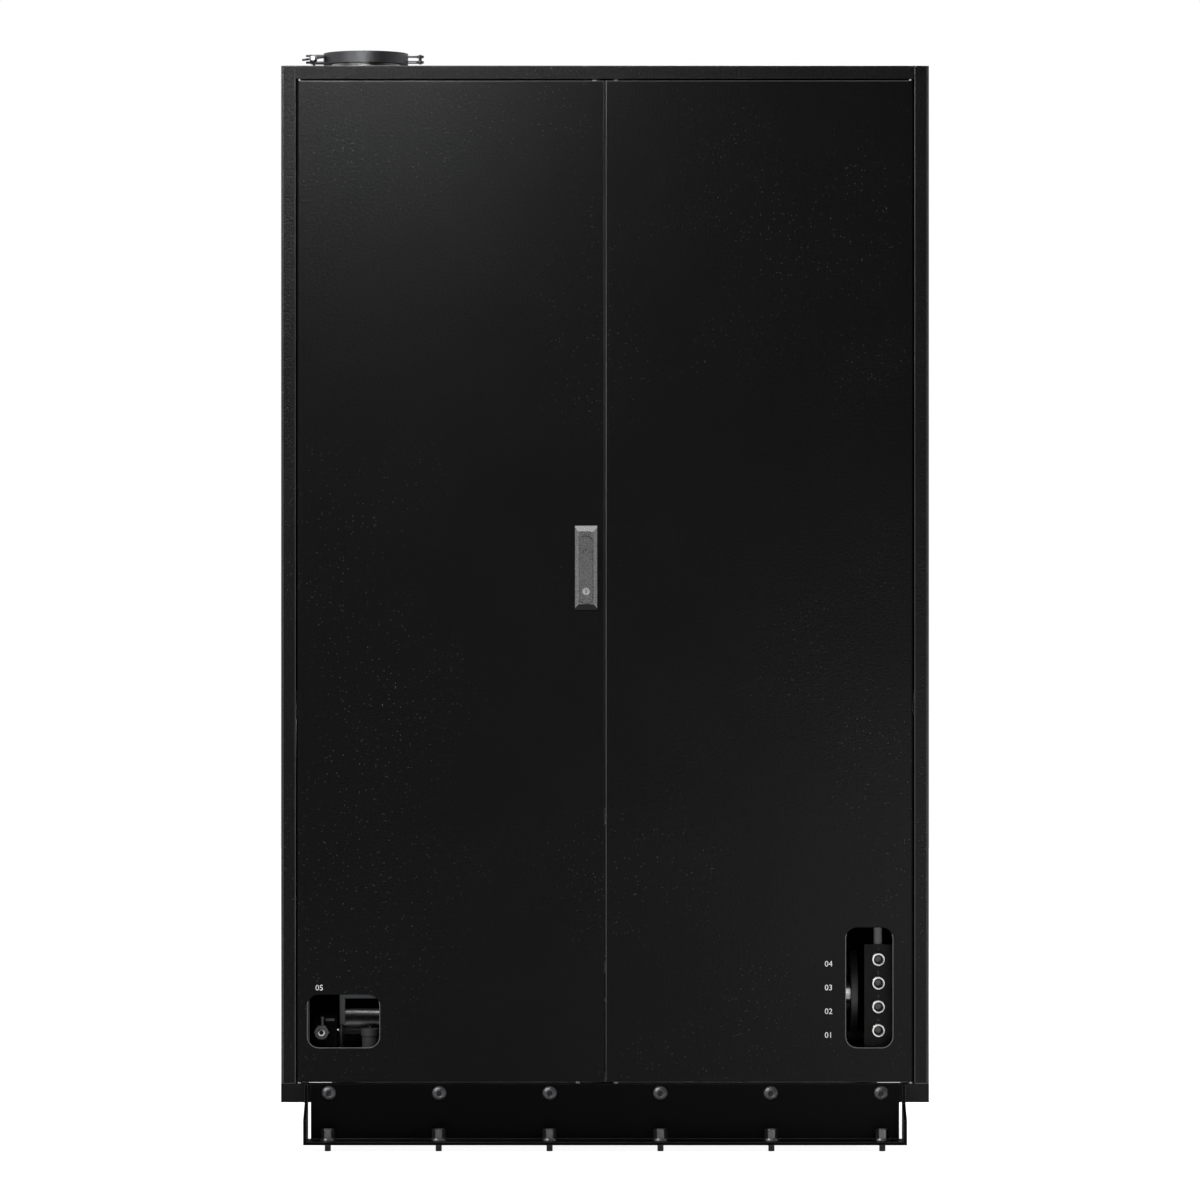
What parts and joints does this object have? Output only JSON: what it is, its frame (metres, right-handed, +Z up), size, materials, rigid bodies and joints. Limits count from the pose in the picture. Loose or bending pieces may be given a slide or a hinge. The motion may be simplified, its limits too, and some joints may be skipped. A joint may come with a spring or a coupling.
{
  "type": "coolant distribution unit",
  "caption": "Floor-standing cabinet of a liquid-cooling unit with hinged doors, swing handle, service windows, pumps, heat exchanger, roof pipe connections and bolted floor brackets.",
  "frame": {"origin": "centre of the footprint, at the tips of the floor anchors, 13 mm below the floor that the brackets stand on", "axes": "+X to the right seen from the front, +Y from the front to the rear, +Z up"},
  "size_m": [1.2, 1.36, 2.0415],
  "materials": {
    "frame_black": "fine-textured powder coat",
    "panel_black": "fine-textured powder coat",
    "bracket_black": "fine-textured powder coat",
    "zinc_steel": "zinc plated",
    "anchor_steel": "dark plated",
    "handle_grey": "satin die-cast",
    "lock_silver": "satin nickel",
    "stainless": "brushed",
    "clamp_steel": "dark satin",
    "galvanised": "galvanised sheet",
    "pump_paint": "semi-gloss",
    "motor_paint": "semi-gloss",
    "exchanger_blue": "semi-gloss",
    "valve_iron": "painted casting",
    "actuator_blue": "moulded",
    "enclosure_grey": "fine texture",
    "knob_red": "moulded",
    "port_nickel": "nickel plated",
    "foot_grey": "zinc plated",
    "sensor_grey": "moulded"
  },
  "bodies": {
    "cabinet": {"base_frame": "frame_black", "corner_posts": "frame_black", "top_frame": "frame_black", "side_panel_left": "panel_black", "side_panel_right": "panel_black", "roof_panel": "panel_black", "rear_panels": "panel_black", "drip_tray": "galvanised", "equipment_shelf": "galvanised", "front_bracket": "bracket_black", "rear_bracket": "bracket_black", "bracket_bolts": "zinc_steel", "floor_anchors": "anchor_steel", "levelling_feet": "foot_grey", "hinge_pins": "zinc_steel", "coolant_return_pipe": "stainless", "facility_supply_pipe": "stainless", "facility_return_pipe": "stainless", "coolant_supply_pipe": "stainless", "clamp_rear_half": "clamp_steel", "pump_left": "pump_paint", "motor_left": "motor_paint", "pump_right": "pump_paint", "motor_right": "motor_paint", "suction_header": "stainless", "discharge_header": "stainless", "reservoir_tank": "stainless", "exchanger_frame": "exchanger_blue", "exchanger_pack": "stainless", "control_valve": "valve_iron", "valve_actuator": "actuator_blue", "electrical_enclosure": "enclosure_grey", "port_plate": "panel_black", "service_ports": "port_nickel", "relief_valve": "zinc_steel", "fill_line": "stainless", "makeup_line": "galvanised", "level_sensor": "sensor_grey"},
    "door_left": {"door_left": "panel_black", "handle_bezel": "handle_grey", "latch_gearbox": "zinc_steel"},
    "handle_spindle": {"handle_spindle": "handle_grey"},
    "handle_lever": {"handle_lever": "handle_grey"},
    "lock_cylinder": {"lock_cylinder": "lock_silver"},
    "latch_rod_upper": {"latch_rod_upper": "zinc_steel"},
    "latch_rod_lower": {"latch_rod_lower": "zinc_steel"},
    "door_right": {"door_right": "panel_black"},
    "flush_bolt_upper": {"flush_bolt_upper": "zinc_steel"},
    "flush_bolt_lower": {"flush_bolt_lower": "zinc_steel"},
    "clamp_front": {"clamp_front_half": "clamp_steel"},
    "clamp_bolt": {"clamp_bolt": "zinc_steel"},
    "clamp_wing_nut": {"clamp_wing_nut": "clamp_steel"},
    "impeller_left": {"impeller_left": "stainless"},
    "impeller_right": {"impeller_right": "stainless"},
    "valve_disc": {"valve_disc": "stainless"},
    "isolator_knob": {"isolator_knob": "knob_red"},
    "port_poppet_1": {"port_poppet_1": "stainless"},
    "port_poppet_2": {"port_poppet_2": "stainless"},
    "port_poppet_3": {"port_poppet_3": "stainless"},
    "port_poppet_4": {"port_poppet_4": "stainless"}
  },
  "joints": [
    {"name": "door_left_hinge", "type": "hinge", "parent": "cabinet", "child": "door_left", "pos_m": [-0.566, -0.5955, 1], "axis": [0, 0, -1], "range_deg": [0, 110]},
    {"name": "door_right_hinge", "type": "hinge", "parent": "cabinet", "child": "door_right", "pos_m": [0.566, -0.5955, 1], "axis": [0, 0, 1], "range_deg": [0, 110]},
    {"name": "handle_turn", "type": "hinge", "parent": "door_left", "child": "handle_spindle", "pos_m": [-0.035, -0.6, 1.12225], "axis": [0, 1, 0], "range_deg": [0, 90]},
    {"name": "handle_lift", "type": "hinge", "parent": "handle_spindle", "child": "handle_lever", "pos_m": [-0.035, -0.6148, 1.1081], "axis": [-1, 0, 0], "range_deg": [0, 35]},
    {"name": "lock_turn", "type": "hinge", "parent": "handle_lever", "child": "lock_cylinder", "pos_m": [-0.035, -0.615, 1.032], "axis": [0, 1, 0], "range_deg": [0, 90]},
    {"name": "latch_rod_upper_slide", "type": "slide", "parent": "door_left", "child": "latch_rod_upper", "axis": [0, 0, -1], "range_m": [0, 0.019]},
    {"name": "latch_rod_lower_slide", "type": "slide", "parent": "door_left", "child": "latch_rod_lower", "axis": [0, 0, 1], "range_m": [0, 0.019]},
    {"name": "flush_bolt_upper_slide", "type": "slide", "parent": "door_right", "child": "flush_bolt_upper", "axis": [0, 0, -1], "range_m": [0, 0.02]},
    {"name": "flush_bolt_lower_slide", "type": "slide", "parent": "door_right", "child": "flush_bolt_lower", "axis": [0, 0, 1], "range_m": [0, 0.02]},
    {"name": "clamp_hinge", "type": "hinge", "parent": "cabinet", "child": "clamp_front", "pos_m": [-0.347, -0.43, 2.031], "axis": [0, 0, 1], "range_deg": [0, 100]},
    {"name": "clamp_bolt_swing", "type": "hinge", "parent": "cabinet", "child": "clamp_bolt", "pos_m": [-0.547, -0.416, 2.031], "axis": [0, 0, -1], "range_deg": [0, 90]},
    {"name": "wing_nut_turn", "type": "hinge", "parent": "clamp_bolt", "child": "clamp_wing_nut", "pos_m": [-0.547, -0.45, 2.031], "axis": [0, -1, 0], "continuous": true},
    {"name": "pump_left_spin", "type": "hinge", "parent": "cabinet", "child": "impeller_left", "pos_m": [-0.25, -0.23, 0.3], "axis": [0, 0, 1], "continuous": true},
    {"name": "pump_right_spin", "type": "hinge", "parent": "cabinet", "child": "impeller_right", "pos_m": [0.25, -0.23, 0.3], "axis": [0, 0, 1], "continuous": true},
    {"name": "control_valve_turn", "type": "hinge", "parent": "cabinet", "child": "valve_disc", "pos_m": [-0.449, 0.15, 0.8], "axis": [0, 1, 0], "range_deg": [0, 90]},
    {"name": "isolator_turn", "type": "hinge", "parent": "cabinet", "child": "isolator_knob", "pos_m": [0.46, -0.545, 1.603], "axis": [0, 1, 0], "range_deg": [0, 90]},
    {"name": "port_poppet_1_press", "type": "slide", "parent": "cabinet", "child": "port_poppet_1", "axis": [0, 1, 0], "range_m": [0, 0.006], "stiffness_N_per_m": 200, "springref_m": -0.002},
    {"name": "port_poppet_2_press", "type": "slide", "parent": "cabinet", "child": "port_poppet_2", "axis": [0, 1, 0], "range_m": [0, 0.006], "stiffness_N_per_m": 200, "springref_m": -0.002},
    {"name": "port_poppet_3_press", "type": "slide", "parent": "cabinet", "child": "port_poppet_3", "axis": [0, 1, 0], "range_m": [0, 0.006], "stiffness_N_per_m": 200, "springref_m": -0.002},
    {"name": "port_poppet_4_press", "type": "slide", "parent": "cabinet", "child": "port_poppet_4", "axis": [0, 1, 0], "range_m": [0, 0.006], "stiffness_N_per_m": 200, "springref_m": -0.002}
  ],
  "couplings": [
    {"joint": "latch_rod_upper_slide", "follows": "handle_turn", "m_per_rad": 0.0118},
    {"joint": "latch_rod_lower_slide", "follows": "handle_turn", "m_per_rad": 0.0118}
  ]
}
